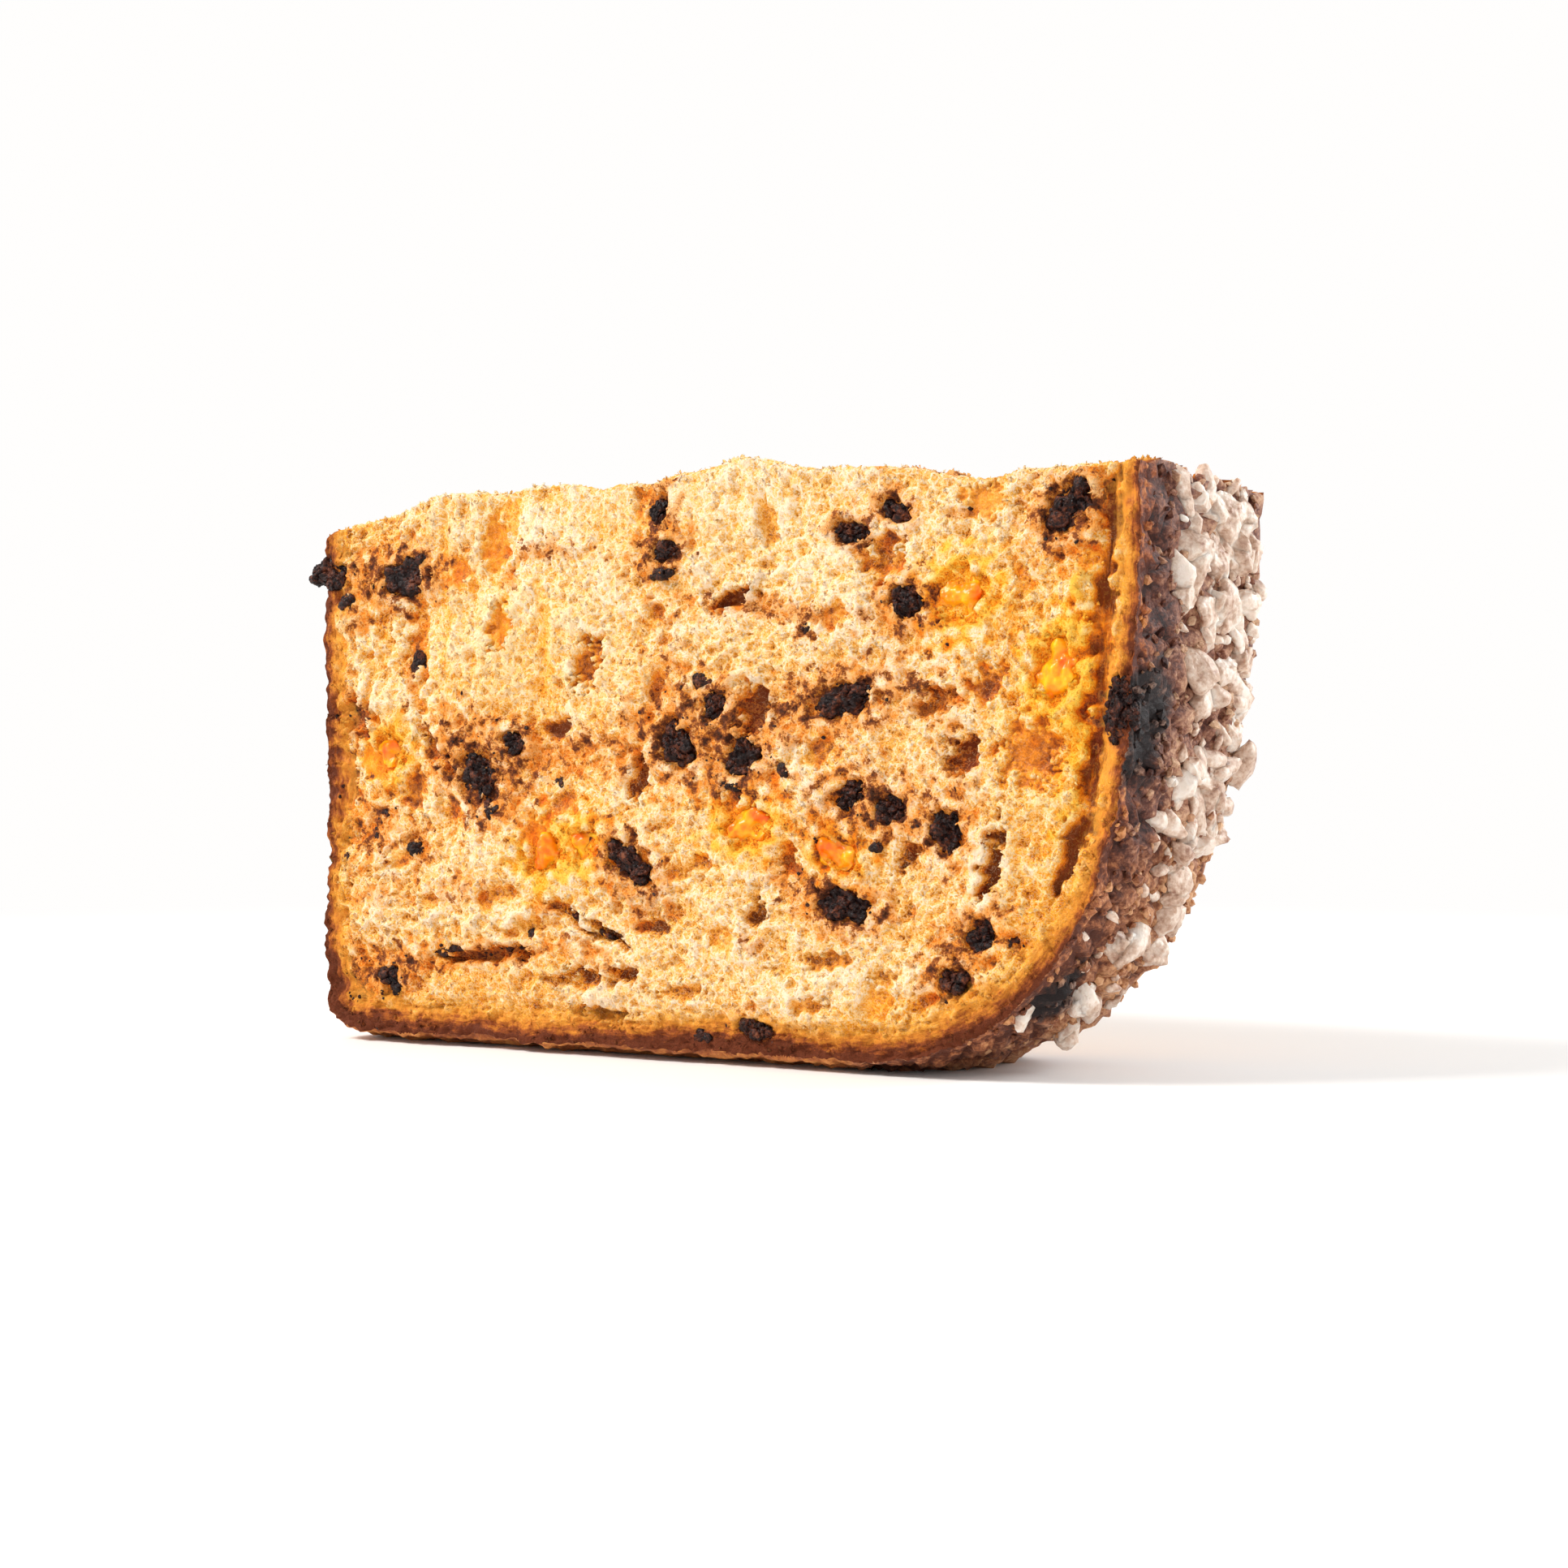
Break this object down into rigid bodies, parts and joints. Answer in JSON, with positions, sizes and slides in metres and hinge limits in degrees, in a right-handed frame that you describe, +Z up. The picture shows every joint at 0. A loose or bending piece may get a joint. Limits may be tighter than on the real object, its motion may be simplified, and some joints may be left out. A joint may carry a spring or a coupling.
{
  "type": "panettone slice",
  "caption": "Thick slice of domed, glazed panettone with dark chocolate chunks, diced candied orange and pearl sugar, standing on its side crust.",
  "frame": {"origin": "bottom centre of the slice's bounding box, on the surface it stands on", "axes": "+X from the base crust to the top of the dome, -Y out of the near cut face, +Z up, from the side crust to the cut that halved the loaf"},
  "size_m": [0.15, 0.0524, 0.0871],
  "materials": {
    "bread": "open, golden crumb with a thin brown crust and a dark, crackled glaze on the dome",
    "chocolate": "dark, crumbly chocolate with a few soft glints",
    "candied_orange": "glossy, translucent candied peel",
    "pearl_sugar": "opaque, off-white sugar nib"
  },
  "bodies": {
    "root": {"chocolate_far_01": "chocolate", "chocolate_far_02": "chocolate", "chocolate_far_03": "chocolate", "chocolate_far_04": "chocolate", "chocolate_far_05": "chocolate", "chocolate_near_01": "chocolate", "chocolate_near_02": "chocolate", "chocolate_near_03": "chocolate", "chocolate_near_04": "chocolate", "chocolate_near_05": "chocolate", "chocolate_near_06": "chocolate", "chocolate_near_07": "chocolate", "chocolate_near_08": "chocolate", "chocolate_near_09": "chocolate", "chocolate_near_10": "chocolate", "chocolate_near_11": "chocolate", "chocolate_near_12": "chocolate", "chocolate_near_13": "chocolate", "chocolate_near_14": "chocolate", "chocolate_near_15": "chocolate", "chocolate_near_16": "chocolate", "chocolate_near_17": "chocolate", "chocolate_near_18": "chocolate", "chocolate_near_19": "chocolate", "chocolate_near_20": "chocolate", "chocolate_near_21": "chocolate", "chocolate_near_22": "chocolate", "chocolate_near_23": "chocolate", "chocolate_near_24": "chocolate", "chocolate_top_01": "chocolate", "orange_peel_far_01": "candied_orange", "orange_peel_far_02": "candied_orange", "orange_peel_near_01": "candied_orange", "orange_peel_near_02": "candied_orange", "orange_peel_near_03": "candied_orange", "orange_peel_near_04": "candied_orange", "orange_peel_near_05": "candied_orange", "orange_peel_near_06": "candied_orange", "orange_peel_near_07": "candied_orange", "panettone_slice": "bread", "sugar_nib_01": "pearl_sugar", "sugar_nib_02": "pearl_sugar", "sugar_nib_03": "pearl_sugar", "sugar_nib_04": "pearl_sugar", "sugar_nib_05": "pearl_sugar", "sugar_nib_06": "pearl_sugar", "sugar_nib_07": "pearl_sugar", "sugar_nib_08": "pearl_sugar", "sugar_nib_09": "pearl_sugar", "sugar_nib_10": "pearl_sugar", "sugar_nib_11": "pearl_sugar", "sugar_nib_12": "pearl_sugar", "sugar_nib_13": "pearl_sugar", "sugar_nib_14": "pearl_sugar", "sugar_nib_15": "pearl_sugar", "sugar_nib_16": "pearl_sugar", "sugar_nib_17": "pearl_sugar", "sugar_nib_18": "pearl_sugar", "sugar_nib_19": "pearl_sugar", "sugar_nib_20": "pearl_sugar"}
  },
  "joints": []
}
